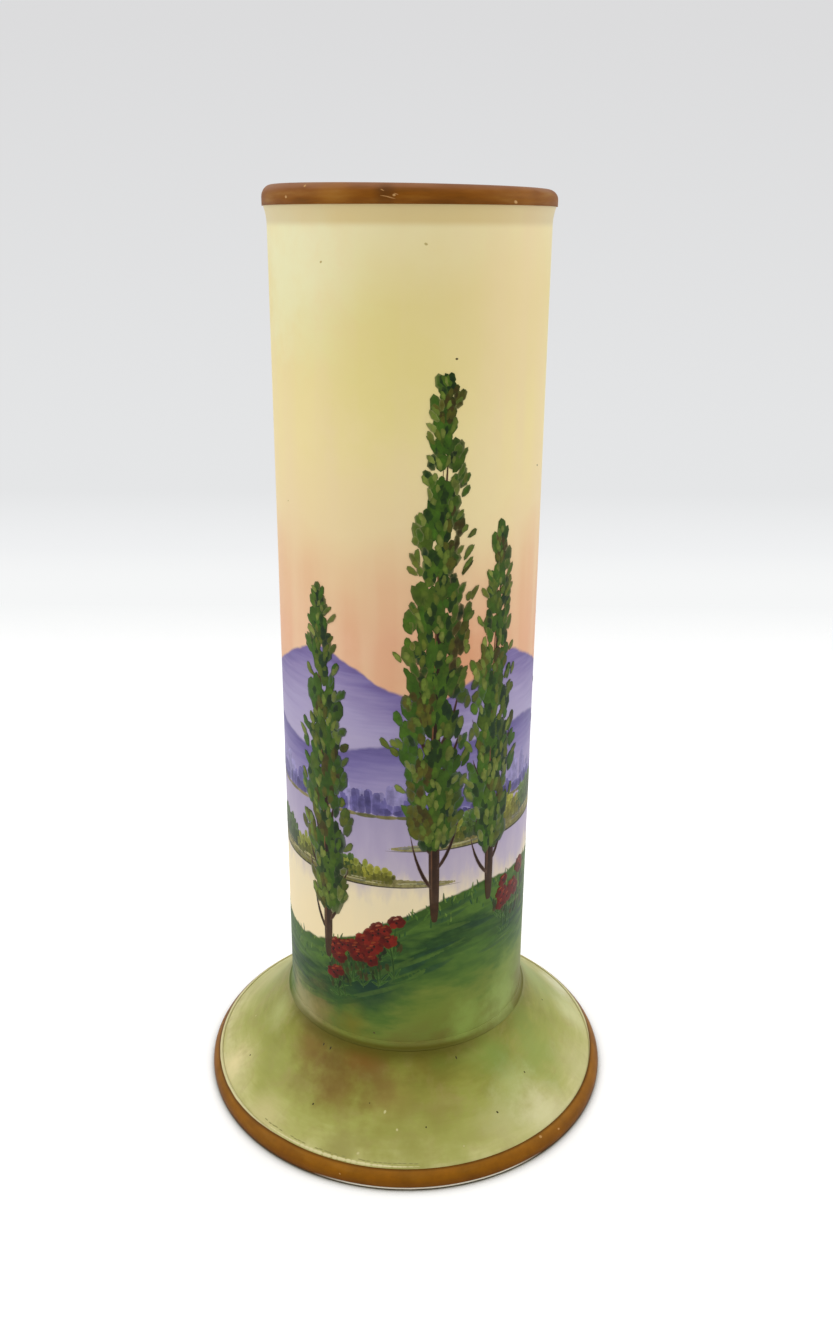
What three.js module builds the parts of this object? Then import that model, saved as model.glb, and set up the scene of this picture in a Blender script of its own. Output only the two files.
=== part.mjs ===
// A bud vase: a cast cylinder with a rolled lip, luted with slip onto a hollow flared foot.
// The lip and the edge of the foot each carry a band of fired brown enamel.
// Lengths are in millimetres. The vase stands on the plane z = 0, and its axis is +Z.

import * as THREE from 'three';

// Body: the cast cylinder with its own floor
const BODY_HEIGHT = 148;
const WALL_RADIUS = 23;
const WALL_TAPER = 0.2;
const WALL_THICKNESS = 3.2;
const WALL_EDGE_ROUND = 0.8;
const FLOOR_THICKNESS = 4;
const FLOOR_CORNER_RADIUS = 4;

// Lip: the rolled-out top of the body
const LIP_OVERHANG = 0.7;
const LIP_UNDERCUT_HEIGHT = 2.8;
const LIP_OUTER_ROUND = 1.2;
const LIP_INNER_ROUND = 1.2;
const LIP_BAND_HEIGHT = 2.8;
const LIP_BAND_INSIDE_DEPTH = 2;

// Foot: the hollow skirt that the body stands on
const FOOT_RADIUS = 39.7;
const FOOT_HEIGHT = 17.5;
const FOOT_WALL_THICKNESS = 3.2;
const FOOT_SHOULDER_WIDTH = 0.9;
const FOOT_SHOULDER_ROUND = 0.5;
const FOOT_HOLLOW_CURVE = 1.1;
const FOOT_EDGE_HEIGHT = 3.2;
const FOOT_EDGE_REACH = 1.8;
const FOOT_EDGE_LOW = 0.9;
const FOOT_BARE_HEIGHT = 0.4;
const FOOT_RING_WIDTH = 3;
const FOOT_RING_BEVEL = 0.3;
const SEAT_FLANGE_WIDTH = 6;
const SEAT_FLANGE_THICKNESS = 3.5;

// Slip and enamel: the layers that are added to the two cast pieces
const SLIP_THICKNESS = 0.5;
const SLIP_SETBACK = 0.25;
const ENAMEL_THICKNESS = 0.2;
const ENAMEL_CLEARANCE = 0.02;

// Facets
const TURN_STEPS = 72;
const CURVE_STEPS = 5;
const ROUND_STEPS = 3;

// Places that follow from the sizes above
const RIGHT_ANGLE = Math.PI / 2;
const BODY_BASE = FOOT_HEIGHT + SLIP_THICKNESS;
const TOP = BODY_BASE + BODY_HEIGHT;
const NECK_RADIUS = WALL_RADIUS - WALL_TAPER;
const LIP_RADIUS = NECK_RADIUS + LIP_OVERHANG;
const BORE_RADIUS = NECK_RADIUS - WALL_THICKNESS;
const LIP_BAND_BASE = TOP - LIP_BAND_HEIGHT;
const SHOULDER_RADIUS = WALL_RADIUS + FOOT_SHOULDER_WIDTH;
const SEAT_BORE_RADIUS = WALL_RADIUS - SEAT_FLANGE_WIDTH;
const BARE_RADIUS = FOOT_RADIUS - ENAMEL_THICKNESS - ENAMEL_CLEARANCE;
const RING_OUTER_RADIUS = BARE_RADIUS - FOOT_RING_BEVEL;
const RING_INNER_RADIUS = RING_OUTER_RADIUS - FOOT_RING_WIDTH;

// Joins stretches of an outline, each a list of points, into one list
function join(...stretches) {
  return stretches.flat();
}

function point(radius, height) {
  return new THREE.Vector2(radius, height);
}

// A curve from start to end that leans towards a third point
function bend(start, toward, end, steps) {
  return new THREE.QuadraticBezierCurve(start, toward, end).getPoints(steps);
}

// A rounded corner about a centre, between two angles measured from the outward direction
function round(centre, radius, fromAngle, toAngle, steps) {
  const clockwise = toAngle < fromAngle;
  const arc = new THREE.EllipseCurve(
    centre.x, centre.y, radius, radius, fromAngle, toAngle, clockwise);
  return arc.getPoints(steps);
}

// Moves an open outline sideways by a distance, towards the left of the way it runs
function shifted(outline, distance) {
  return outline.map((here, index) => {
    const before = outline[Math.max(index - 1, 0)];
    const after = outline[Math.min(index + 1, outline.length - 1)];
    const way = after.clone().sub(before).normalize();
    return point(here.x - way.y * distance, here.y + way.x * distance);
  });
}

// Turns a closed outline about the vase's axis
function turned(outline) {
  const geometry = new THREE.LatheGeometry(outline, TURN_STEPS);
  return geometry.rotateX(RIGHT_ANGLE);
}

function piece(name, outline, colour, roughness) {
  const material = new THREE.MeshStandardMaterial({ color: colour, roughness, metalness: 0 });
  const mesh = new THREE.Mesh(turned(outline), material);
  mesh.name = name;
  return mesh;
}

// The face of the lip's enamel, from its lower edge outside, over the lip, to its edge inside
function lipFace() {
  const outerCentre = point(LIP_RADIUS - LIP_OUTER_ROUND, TOP - LIP_OUTER_ROUND);
  const innerCentre = point(BORE_RADIUS + LIP_INNER_ROUND, TOP - LIP_INNER_ROUND);
  return join(
    [point(LIP_RADIUS, LIP_BAND_BASE)],
    round(outerCentre, LIP_OUTER_ROUND, 0, RIGHT_ANGLE, ROUND_STEPS),
    round(innerCentre, LIP_INNER_ROUND, RIGHT_ANGLE, 2 * RIGHT_ANGLE, ROUND_STEPS),
    [point(BORE_RADIUS, TOP - LIP_BAND_INSIDE_DEPTH)],
  );
}

// The face of the foot's enamel, from its lower edge up to its edge on the flare
function footEdgeFace() {
  const upper = point(FOOT_RADIUS - FOOT_EDGE_REACH, FOOT_EDGE_HEIGHT);
  const middle = point(FOOT_RADIUS, (FOOT_EDGE_LOW + FOOT_EDGE_HEIGHT) / 2);
  const lower = point(FOOT_RADIUS, FOOT_EDGE_LOW);
  return join(
    [point(FOOT_RADIUS, FOOT_BARE_HEIGHT)],
    bend(lower, middle, upper, CURVE_STEPS),
  );
}

// A layer of enamel between its own face and the clay under it
function enamelOutline(face) {
  const back = shifted(face, ENAMEL_THICKNESS).reverse();
  return join(face, back, [face[0].clone()]);
}

// The clay's own surface where enamel covers it
function clayUnder(face) {
  return shifted(face, ENAMEL_THICKNESS + ENAMEL_CLEARANCE);
}

function bodyOutline() {
  const lip = clayUnder(lipFace());
  const undercutFoot = point(NECK_RADIUS, LIP_BAND_BASE - LIP_UNDERCUT_HEIGHT);
  const undercutBend = point(NECK_RADIUS, LIP_BAND_BASE - LIP_UNDERCUT_HEIGHT / 2);
  const edgeCentre = point(WALL_RADIUS - WALL_EDGE_ROUND, BODY_BASE + WALL_EDGE_ROUND);
  const floorTop = BODY_BASE + FLOOR_THICKNESS;
  const cornerCentre = point(BORE_RADIUS - FLOOR_CORNER_RADIUS, floorTop + FLOOR_CORNER_RADIUS);
  return join(
    [point(0, BODY_BASE)],
    round(edgeCentre, WALL_EDGE_ROUND, -RIGHT_ANGLE, 0, ROUND_STEPS),
    bend(undercutFoot, undercutBend, lip[0], CURVE_STEPS),
    lip.slice(1),
    [point(BORE_RADIUS, lip[lip.length - 1].y - ENAMEL_THICKNESS)],
    round(cornerCentre, FLOOR_CORNER_RADIUS, 0, -RIGHT_ANGLE, CURVE_STEPS),
    [point(0, floorTop)],
  );
}

// A washer of slip between the two cast pieces, set back a little in the groove that they leave
function slipOutline() {
  const outerRadius = WALL_RADIUS - WALL_EDGE_ROUND + SLIP_SETBACK;
  const start = point(SEAT_BORE_RADIUS, FOOT_HEIGHT);
  return [
    start,
    point(outerRadius, FOOT_HEIGHT),
    point(outerRadius - SLIP_SETBACK, BODY_BASE),
    point(SEAT_BORE_RADIUS, BODY_BASE),
    start.clone(),
  ];
}

// The flare between the foot's shoulder and the enamel on its edge, dipping below a straight cone
function flare(upper, lower) {
  const across = lower.clone().sub(upper);
  const middle = upper.clone().add(lower).multiplyScalar(1 / 2);
  const inward = point(across.y, -across.x).normalize();
  const toward = middle.add(inward.multiplyScalar(2 * FOOT_HOLLOW_CURVE));
  return bend(lower, toward, upper, CURVE_STEPS);
}

function footOutline() {
  const edge = clayUnder(footEdgeFace());
  const shoulderBase = FOOT_HEIGHT - FOOT_SHOULDER_ROUND;
  const shoulderCentre = point(SHOULDER_RADIUS - FOOT_SHOULDER_ROUND, shoulderBase);
  const outerFlare = flare(point(SHOULDER_RADIUS, shoulderBase), edge[edge.length - 1]);
  const flangeBase = FOOT_HEIGHT - SEAT_FLANGE_THICKNESS;
  const innerTop = point(SHOULDER_RADIUS - FOOT_WALL_THICKNESS, flangeBase);
  const innerFoot = point(RING_INNER_RADIUS - FOOT_RING_BEVEL, FOOT_RING_BEVEL);
  const innerFlare = flare(innerTop, innerFoot).reverse();
  const start = point(RING_INNER_RADIUS, 0);
  return join(
    [start, point(RING_OUTER_RADIUS, 0), point(BARE_RADIUS, FOOT_RING_BEVEL)],
    edge,
    outerFlare.slice(1),
    round(shoulderCentre, FOOT_SHOULDER_ROUND, 0, RIGHT_ANGLE, ROUND_STEPS).slice(1),
    [point(SEAT_BORE_RADIUS, FOOT_HEIGHT), point(SEAT_BORE_RADIUS, flangeBase)],
    innerFlare,
    [start.clone()],
  );
}

const vase = new THREE.Group();
vase.add(
  piece('vase_body', bodyOutline(), 0xd9cfa0, 0.5),
  piece('flared_foot', footOutline(), 0xa3a168, 0.5),
  piece('slip_joint', slipOutline(), 0x4a4516, 0.6),
  piece('lip_band', enamelOutline(lipFace()), 0x8a5218, 0.45),
  piece('foot_band', enamelOutline(footEdgeFace()), 0x8a5218, 0.45),
);

export default vase;
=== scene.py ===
import math
import random

import bpy
import bmesh
from mathutils import Matrix, Vector, noise


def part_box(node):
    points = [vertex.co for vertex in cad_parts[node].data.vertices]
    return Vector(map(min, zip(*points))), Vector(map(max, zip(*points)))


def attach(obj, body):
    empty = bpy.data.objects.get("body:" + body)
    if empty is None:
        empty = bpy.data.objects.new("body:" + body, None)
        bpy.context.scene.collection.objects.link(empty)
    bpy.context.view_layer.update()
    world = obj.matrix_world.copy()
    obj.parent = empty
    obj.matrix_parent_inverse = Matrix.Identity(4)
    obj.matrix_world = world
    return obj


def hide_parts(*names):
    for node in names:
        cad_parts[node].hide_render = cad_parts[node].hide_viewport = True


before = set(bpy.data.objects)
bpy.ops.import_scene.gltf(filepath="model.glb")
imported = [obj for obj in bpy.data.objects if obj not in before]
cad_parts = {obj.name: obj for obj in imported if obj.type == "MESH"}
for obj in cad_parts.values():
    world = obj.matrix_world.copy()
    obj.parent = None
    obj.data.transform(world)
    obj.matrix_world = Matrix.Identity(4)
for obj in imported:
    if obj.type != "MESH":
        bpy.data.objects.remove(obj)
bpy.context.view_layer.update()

# Camera
# The vase is seen from a little below its lip and from close by, so the camera looks down at the foot.
# Its distance and tilt come from the widths of the lip, the wall and the foot in the photograph.

MM = 0.001
PHOTO_HEIGHT_PX = 1333
FOCAL_PX = 1160
AXIS_SHIFT_PX = 8.8
SENSOR_MM = 36
EYE_HEIGHT = 160.4 * MM
EYE_DISTANCE = 199.2 * MM
EYE_TILT = math.radians(20.83)
EYE_ROLL = math.radians(0.25)
NEAREST = 10 * MM
FARTHEST = 20000 * MM

lens = bpy.data.cameras.new("camera")
lens.sensor_width = SENSOR_MM
lens.lens = SENSOR_MM * FOCAL_PX / PHOTO_HEIGHT_PX
lens.shift_x = AXIS_SHIFT_PX / PHOTO_HEIGHT_PX
lens.clip_start = NEAREST
lens.clip_end = FARTHEST
camera = bpy.data.objects.new("camera", lens)
camera.matrix_world = (
    Matrix.Translation((0, -EYE_DISTANCE, EYE_HEIGHT))
    @ Matrix.Rotation(math.radians(90) - EYE_TILT, 4, "X")
    @ Matrix.Rotation(EYE_ROLL, 4, "Z")
)
bpy.context.scene.collection.objects.link(camera)
bpy.context.scene.camera = camera

# Studio
# A white sweep of card: a flat floor that curves up into a pale grey back. Soft lamps stand at both
# sides and overhead, so the vase is evenly lit and its edges catch the white card.

FLOOR_FRONT = 900 * MM
FLOOR_BACK = 330 * MM
SWEEP_RADIUS = 160 * MM
SWEEP_TOP = 900 * MM
SWEEP_HALF_WIDTH = 900 * MM
SWEEP_STEPS = 16


def linear(hex_colour):
    """An sRGB colour such as #d9cfa0 as the linear numbers that a shader reads."""
    parts = [int(hex_colour[i : i + 2], 16) / 255 for i in (1, 3, 5)]
    return [p / 12.92 if p <= 0.04045 else ((p + 0.055) / 1.055) ** 2.4 for p in parts] + [1.0]


def add(tree, kind, sockets=None, stops=None, **settings):
    """Adds a node with its settings and a ramp's stops. Each socket that is named is given a value,
    an sRGB colour, or a node or one of its outputs to be linked from."""
    made = tree.nodes.new("ShaderNode" + kind)
    for name, value in settings.items():
        setattr(made, name, value)
    for index, (position, colour) in enumerate(sorted((stops or {}).items())):
        elements = made.color_ramp.elements
        stop = elements[index] if index < len(elements) else elements.new(position)
        stop.position = position
        stop.color = linear(colour)
    for socket, given in (sockets or {}).items():
        if isinstance(given, bpy.types.Node):
            given = next(output for output in given.outputs if output.enabled)
        if isinstance(given, bpy.types.NodeSocket):
            tree.links.new(given, made.inputs[socket])
        else:
            made.inputs[socket].default_value = linear(given) if isinstance(given, str) else given
    return made


def shares(stops_mm, span_mm):
    """A ramp's stops in mm as shares of its span."""
    return {mm / span_mm: colour for mm, colour in stops_mm.items()}


def new_material(name):
    """An empty material and its node tree."""
    material = bpy.data.materials.new(name)
    material.use_nodes = True
    material.node_tree.nodes.clear()
    return material, material.node_tree


def place_in_mm(tree):
    """The place on a piece in mm."""
    place = add(tree, "TexCoord")
    return add(tree, "VectorMath", {0: place.outputs["Object"], "Scale": 1 / MM}, operation="SCALE")


def to_the_eye(tree):
    """One on the rays that the camera, a gloss or a clear piece sees, and nought on all others."""
    path = add(tree, "LightPath")
    seen = path.outputs["Is Camera Ray"]
    for ray in ("Is Glossy Ray", "Is Transmission Ray"):
        seen = add(tree, "Math", {0: seen, 1: path.outputs[ray]}, operation="ADD", use_clamp=True)
    return seen


def finished(bm, name, materials):
    """Makes an object at the origin from a bmesh, smooth shaded, with these materials."""
    mesh = bpy.data.meshes.new(name)
    bm.to_mesh(mesh)
    bm.free()
    mesh.shade_smooth()
    for material in materials:
        mesh.materials.append(material)
    made = bpy.data.objects.new(name, mesh)
    bpy.context.scene.collection.objects.link(made)
    return made


bm = bmesh.new()
sweep = [bm.verts.new((-SWEEP_HALF_WIDTH, -FLOOR_FRONT, 0))]
for step in range(SWEEP_STEPS + 1):
    turn = math.radians(90) * step / SWEEP_STEPS
    along = FLOOR_BACK + SWEEP_RADIUS * math.sin(turn)
    sweep.append(bm.verts.new((-SWEEP_HALF_WIDTH, along, SWEEP_RADIUS * (1 - math.cos(turn)))))
sweep.append(bm.verts.new((-SWEEP_HALF_WIDTH, FLOOR_BACK + SWEEP_RADIUS, SWEEP_TOP)))
edges = [bm.edges.new(pair) for pair in zip(sweep[:-1], sweep[1:])]
across = bmesh.ops.extrude_edge_only(bm, edges=edges)
moved = [v for v in across["geom"] if isinstance(v, bmesh.types.BMVert)]
bmesh.ops.translate(bm, verts=moved, vec=(2 * SWEEP_HALF_WIDTH, 0, 0))
bmesh.ops.recalc_face_normals(bm, faces=bm.faces)

# White card. What the eye sees is lifted a little to paper white, and more beside and behind the foot than
# in front of it, as painted light. It shades to grey up the back, and close under the foot a narrow, soft
# painted shadow darkens it, on top of the real shadow that the card keeps.
CARD_COLOUR = "#f5f6f8"
CARD_SHADE = "#6e6a5c"
CARD_LIFT = 0.14
SIDE_LIFT = 0.11
SIDE_LIFT_MM = (-34, -12)
SHADE_REACH_MM = 4
SHADE_OPENING = (0.38, 0.86)
BACK_STOPS_MM = {0: "#f6f7f7", 6: "#f0f1f2", 26: "#e5e6e7", 260: "#dcdcdd"}
BACK_TOP_MM = max(BACK_STOPS_MM)
BACK_BEGINS_MM = (120, 300)
card, tree = new_material("white_card")
seen = to_the_eye(tree)
axes = add(tree, "SeparateXYZ", {0: place_in_mm(tree)}).outputs
rise = add(tree, "MapRange", {"Value": axes["Z"], "From Max": BACK_TOP_MM})
back = add(tree, "ValToRGB", {"Fac": rise}, shares(BACK_STOPS_MM, BACK_TOP_MM))
is_back = add(tree, "MapRange", {
    "Value": axes["Y"], "From Min": BACK_BEGINS_MM[0], "From Max": BACK_BEGINS_MM[1]})
# Painted shadow: close under the foot, where little of the room is open to it, the card's colour darkens
# towards CARD_SHADE and its lift fades.
opening = add(tree, "AmbientOcclusion", {"Distance": SHADE_REACH_MM * MM}, samples=8)
opening = add(tree, "MapRange", {
    "Value": opening.outputs["AO"], "From Min": SHADE_OPENING[0], "From Max": SHADE_OPENING[1]})
beside = add(tree, "MapRange", {
    "Value": axes["Y"], "From Min": SIDE_LIFT_MM[0], "From Max": SIDE_LIFT_MM[1],
    "To Min": CARD_LIFT, "To Max": CARD_LIFT + SIDE_LIFT}, interpolation_type="SMOOTHSTEP")
lift = add(tree, "Math", {0: seen, 1: opening}, operation="MULTIPLY")
lift = add(tree, "Math", {0: lift, 1: beside}, operation="MULTIPLY")
tint = add(tree, "Mix", {0: opening, 6: CARD_SHADE, 7: CARD_COLOUR}, data_type="RGBA")
paper = add(tree, "BsdfDiffuse", {"Color": tint})
glow = add(tree, "Emission", {"Strength": lift})
floor_look = add(tree, "AddShader", {0: paper, 1: glow})
back_look = add(tree, "Emission", {"Color": back})
seen_back = add(tree, "Math", {0: seen, 1: is_back}, operation="MULTIPLY")
look = add(tree, "MixShader", {0: seen_back, 1: floor_look, 2: back_look})
add(tree, "OutputMaterial", {"Surface": look})
finished(bm, "card_sweep", [card])

# The room's own light, even and a little warm. The eye sees the room as a pale grey, like the card.
ROOM_LIGHT = "#fffcf4"
ROOM_STRENGTH = 0.64
ROOM_SEEN = "#dadbdc"
world = bpy.data.worlds.new("room")
world.use_nodes = True
bpy.context.scene.world = world
tree = world.node_tree
tree.nodes.clear()
lit = add(tree, "Background", {"Color": ROOM_LIGHT, "Strength": ROOM_STRENGTH})
shown = add(tree, "Background", {"Color": ROOM_SEEN})
room = add(tree, "MixShader", {0: to_the_eye(tree), 1: lit, 2: shown})
add(tree, "OutputWorld", {"Surface": room})

LAMP_TARGET = Vector((0, 0, 80 * MM))
LAMPS = {
    # place and side in mm, and power in watts
    "left_softbox": ((-520, -60, 330), 420, 0.95),
    "right_softbox": ((520, 20, 300), 420, 0.85),
    "top_softbox": ((0, -120, 620), 500, 1.2),
}
for name, (place_mm, side_mm, watts) in LAMPS.items():
    lamp = bpy.data.lights.new(name, "AREA")
    lamp.shape = "SQUARE"
    lamp.size = side_mm * MM
    lamp.energy = watts
    holder = bpy.data.objects.new(name, lamp)
    holder.location = Vector(place_mm) * MM
    holder.rotation_euler = (LAMP_TARGET - holder.location).to_track_quat("-Z", "Y").to_euler()
    bpy.context.scene.collection.objects.link(holder)

bpy.context.scene.view_settings.view_transform = "Standard"

# Body
# The body is a cast porcelain cylinder with its own floor and a lip that rolls out a little. It is
# glazed satin inside and out, and its wall carries the painted ground of sky, hills, water and grass.

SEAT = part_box("vase_body")[0].z / MM
band_low, band_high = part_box("lip_band")
LIP_BASE = band_low.z / MM
LIP_TOP = band_high.z / MM
LIP_RADIUS = band_high.x / MM
LIP_ROUND = 1.2
LIP_OUTER_ROUND = 1.7
LIP_TILT_MM = 0.3
UNDERCUT = 2.8
WALL_RADIUS = 23.0
NECK_RADIUS = 22.8
BORE_RADIUS = 19.6
SKIN_RADIUS = BORE_RADIUS + 1
EDGE_ROUND = 0.8
FLOOR_TOP = SEAT + 4
FLOOR_CORNER = 4
ENAMEL_MM = 0.22
RING_GAP = 2.0
TURN_STEPS = 256
WARP_MM = 0.05
WARP_PER_METRE = 28


def arc(centre, radius, start, end, steps):
    """Points of a round corner in the (radius, height) plane, angles in degrees from outward."""
    turns = [math.radians(start + (end - start) * i / steps) for i in range(steps + 1)]
    return [(centre[0] + radius * math.cos(t), centre[1] + radius * math.sin(t)) for t in turns]


def bend(start, toward, end, share):
    """The point at a share of the way along a curve that leans towards a third point."""
    return tuple(
        (1 - share) ** 2 * a + 2 * share * (1 - share) * b + share ** 2 * c
        for a, b, c in zip(start, toward, end)
    )


def curve(start, toward, end, steps=8):
    """Points all along such a curve, its two ends among them."""
    return [bend(start, toward, end, step / steps) for step in range(steps + 1)]


def straight(start, end, gap):
    """Points along a straight stretch, about a gap apart, without its two ends."""
    count = max(1, round(math.dist(start, end) / gap))
    return [tuple(a + (b - a) * i / count for a, b in zip(start, end)) for i in range(1, count)]


def turned(outline):
    """A bmesh of an outline in mm, turned about the vase's axis into a closed skin."""
    bm = bmesh.new()
    verts = [bm.verts.new((r * MM, 0, z * MM)) for r, z in outline]
    edges = [bm.edges.new(pair) for pair in zip(verts[:-1], verts[1:])]
    bmesh.ops.spin(
        bm, geom=verts + edges, axis=(0, 0, 1), cent=(0, 0, 0),
        angle=math.radians(360), steps=TURN_STEPS, use_merge=True,
    )
    bmesh.ops.remove_doubles(bm, verts=bm.verts, dist=0.001 * MM)
    bmesh.ops.recalc_face_normals(bm, faces=bm.faces)
    return bm


def wall_radius(height_mm):
    """The wall's outer radius, which narrows a little towards the neck."""
    share = (height_mm - SEAT) / (LIP_BASE - UNDERCUT - SEAT)
    return WALL_RADIUS + (NECK_RADIUS - WALL_RADIUS) * min(max(share, 0), 1)


def warp(place):
    """How far the cast wall swells or sinks at a place, in metres: a slow, faint unevenness."""
    return WARP_MM * MM * noise.noise(place * WARP_PER_METRE)


def tilt_lip(bm):
    """Tilts the top of the lip a little, higher at the left, above a level lower edge."""
    for vert in bm.verts:
        share = (vert.co.z / MM - LIP_BASE) / (LIP_TOP - LIP_BASE)
        vert.co.z -= LIP_TILT_MM * MM * min(max(share, 0), 1) * vert.co.x / (LIP_RADIUS * MM)


edge_centre = (WALL_RADIUS - EDGE_ROUND, SEAT + EDGE_ROUND)
neck = (NECK_RADIUS, LIP_BASE - UNDERCUT)
neck_bend = (NECK_RADIUS, LIP_BASE - UNDERCUT / 2)
lip_outer = (LIP_RADIUS - LIP_OUTER_ROUND, LIP_TOP - LIP_OUTER_ROUND)
lip_inner = (BORE_RADIUS + LIP_ROUND, LIP_TOP - LIP_ROUND)
corner = (BORE_RADIUS - FLOOR_CORNER, FLOOR_TOP + FLOOR_CORNER)
outline = [(0, SEAT)]
outline += arc(edge_centre, EDGE_ROUND, -90, 0, 6)
outline += straight(outline[-1], neck, RING_GAP)
outline += curve(neck, neck_bend, (LIP_RADIUS - ENAMEL_MM, LIP_BASE))
outline += arc(lip_outer, LIP_OUTER_ROUND - ENAMEL_MM, 0, 90, 5)
outline += arc(lip_inner, LIP_ROUND - ENAMEL_MM, 90, 180, 5)
outline += straight(outline[-1], (BORE_RADIUS, corner[1]), RING_GAP * 2)
outline += arc(corner, FLOOR_CORNER, 0, -90, 8)
outline += [(0, FLOOR_TOP)]
bm = turned(outline)
for vert in bm.verts:
    away = Vector((vert.co.x, vert.co.y, 0))
    if away.length > SKIN_RADIUS * MM and vert.co.z < neck[1] * MM:
        vert.co += away.normalized() * warp(vert.co)
for face in bm.faces:
    middle = face.calc_center_median()
    face.material_index = 0 if math.hypot(middle.x, middle.y) > SKIN_RADIUS * MM else 1
tilt_lip(bm)

# Overglaze colours fired on satin-glazed porcelain. They are soft washes: the eye sees a creamy sky
# that warms downwards, violet mountains with level brush marks, pale water and mottled grass.
SKY_STOPS_MM = {
    84: "#d6a682", 97: "#dba987", 106: "#deb68f", 116: "#e3cd9f",
    130: "#e5d49c", 150: "#decf92", 166: "#e6dbb0",
}
SKY_TOP_MM = max(SKY_STOPS_MM)
SKY_CLOUD_MM = 16
SKY_DRIFT_MM = 14
SKY_WASH = "#e3cda6"
SKY_WASH_MM = (6, 60)
PEAK_ROUND = 0.002
PEAK_JOIN_MM = 1.5
# Painted shadow under the rolled lip: its tints, how far to the sides they change, and where it begins and
# ends in mm.
UNDER_LIP_SHADOW_TINTS = ("#c6a968", "#c4b290")
UNDER_LIP_SHADOW_SIDES_MM = (8, 21)
UNDER_LIP_SHADOW_MM = (LIP_BASE - UNDERCUT - 0.5, LIP_BASE - UNDERCUT + 0.7)
UNDER_LIP_SHADOW_SHARE = 0.55
BLOT_MM = 7
BLOT_WANDER = 1.5
BLOT_EDGE = (1.75, 0.65)
RIPPLE_MM = 4
RIPPLE_DEEP_MM = 0.1
# Olive brown near the crease: pooled glaze with painted shade in the crease, strongest at the front left.
CREASE_POOL_AND_SHADE_OLIVE = "#504c06"
DARKEST_TURN = math.radians(-12)
DARKEST_WAY = (math.sin(DARKEST_TURN), -math.cos(DARKEST_TURN), 0)
LIGHTEST_SHARE = 0.25
WASHES = {
    # "level" is the height of the wash's edge in mm. The edge waves in whole turns of the wall, each
    # with its phase in degrees and its swing, and it rises to peaks, each with its place in degrees,
    # its top and the fall of its sides. It is "rough" by so many mm over "ragged" mm, and blurs over
    # "soft" mm. The brush marks are "grain" mm round and up, and "mix" the colours by so many mm,
    # which are given by their depth under the edge, down to the "span".
    "far_mountains": {
        "level": 83, "waves": [(1, 40, 1.5), (3, 10, 1.2)],
        "peaks": [(-40, 95, 26), (6, 88, 20), (50, 93, 24), (108, 91, 22), (163, 95, 25),
                  (-122, 92, 22)],
        "rough": 1.4, "ragged": 7, "soft": 0.35, "grain": (9, 0.9), "mix": 7, "span": 24,
        "colours": {0: "#6a5c90", 1.2: "#74679b", 4: "#887ca8", 9: "#9d93b8", 15: "#a79dbd",
                    24: "#b3a8c4"},
    },
    "near_hills": {
        "level": 77, "waves": [(2, 20, 1.6), (5, 130, 0.7)], "peaks": [],
        "rough": 1.2, "ragged": 6, "soft": 0.4, "grain": (7, 0.7), "mix": 5, "span": 12,
        "colours": {0: "#5d5388", 2.5: "#70669a", 7: "#8e84ae", 12: "#a095b7"},
    },
    "water": {
        "level": 65.4, "waves": [(1, 200, 0.5), (4, 60, 0.3)], "peaks": [],
        "rough": 0.2, "ragged": 5, "soft": 0.25, "grain": (2.0, 7), "mix": 9, "span": 24,
        "colours": {0: "#9a90ae", 6: "#a69bb6", 11: "#b3a8b9", 14: "#cfc2b2", 17: "#e2d3b0",
                    24: "#e8d6ae"},
    },
    "meadow": {
        "level": 43, "waves": [(1, 5, 8), (3, 46, 1.8)], "peaks": [],
        "rough": 1.2, "ragged": 5, "soft": 0.3, "grain": (6, 2.2), "mix": 16, "span": 30,
        "colours": {0: "#34501a", 4: "#4b6a26", 9: "#1c3a18", 13: "#345421", 18: "#4f6a28",
                    23: "#6c7a32", 30: "#6b6a2c"},
    },
}
SKY_PATCHES = [
    # degrees round from the front, height and reach in mm, strength and colour
    (-52, 154, 20, 0.6, "#e2e4bf"), (46, 150, 24, 0.5, "#e3cd9f"), (-8, 140, 20, 0.5, "#dcd080"),
    (24, 122, 16, 0.45, "#e6d9a6"), (-46, 92, 16, 0.5, "#e6bf9f"), (22, 92, 14, 0.6, "#d18f69"),
    (150, 146, 26, 0.5, "#e2e4bf"), (-140, 104, 20, 0.5, "#e6c7a2"), (96, 96, 16, 0.5, "#d3997a"),
]
GRASS_PATCHES = [
    (-14, 31, 8, 0.85, "#122f28"), (34, 37, 8, 0.5, "#55752a"), (-48, 21, 8, 0.75, "#8a7440"),
    (-26, 21, 6, 0.8, "#716a20"), (14, 24, 8, 0.75, "#6b7a2c"), (32, 21, 8, 0.8, "#849b48"),
    (55, 24, 10, 0.8, "#7f9448"), (52, 20, 8, 0.7, "#93a35c"), (-62, 20, 9, 0.8, "#9c9468"),
    (112, 34, 10, 0.7, "#15342a"), (-120, 33, 9, 0.7, "#1b3a22"), (100, 23, 9, 0.7, "#7c8a44"),
    (170, 24, 12, 0.6, "#7a6238"), (-100, 22, 8, 0.6, "#6b7a2c"),
]


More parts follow.
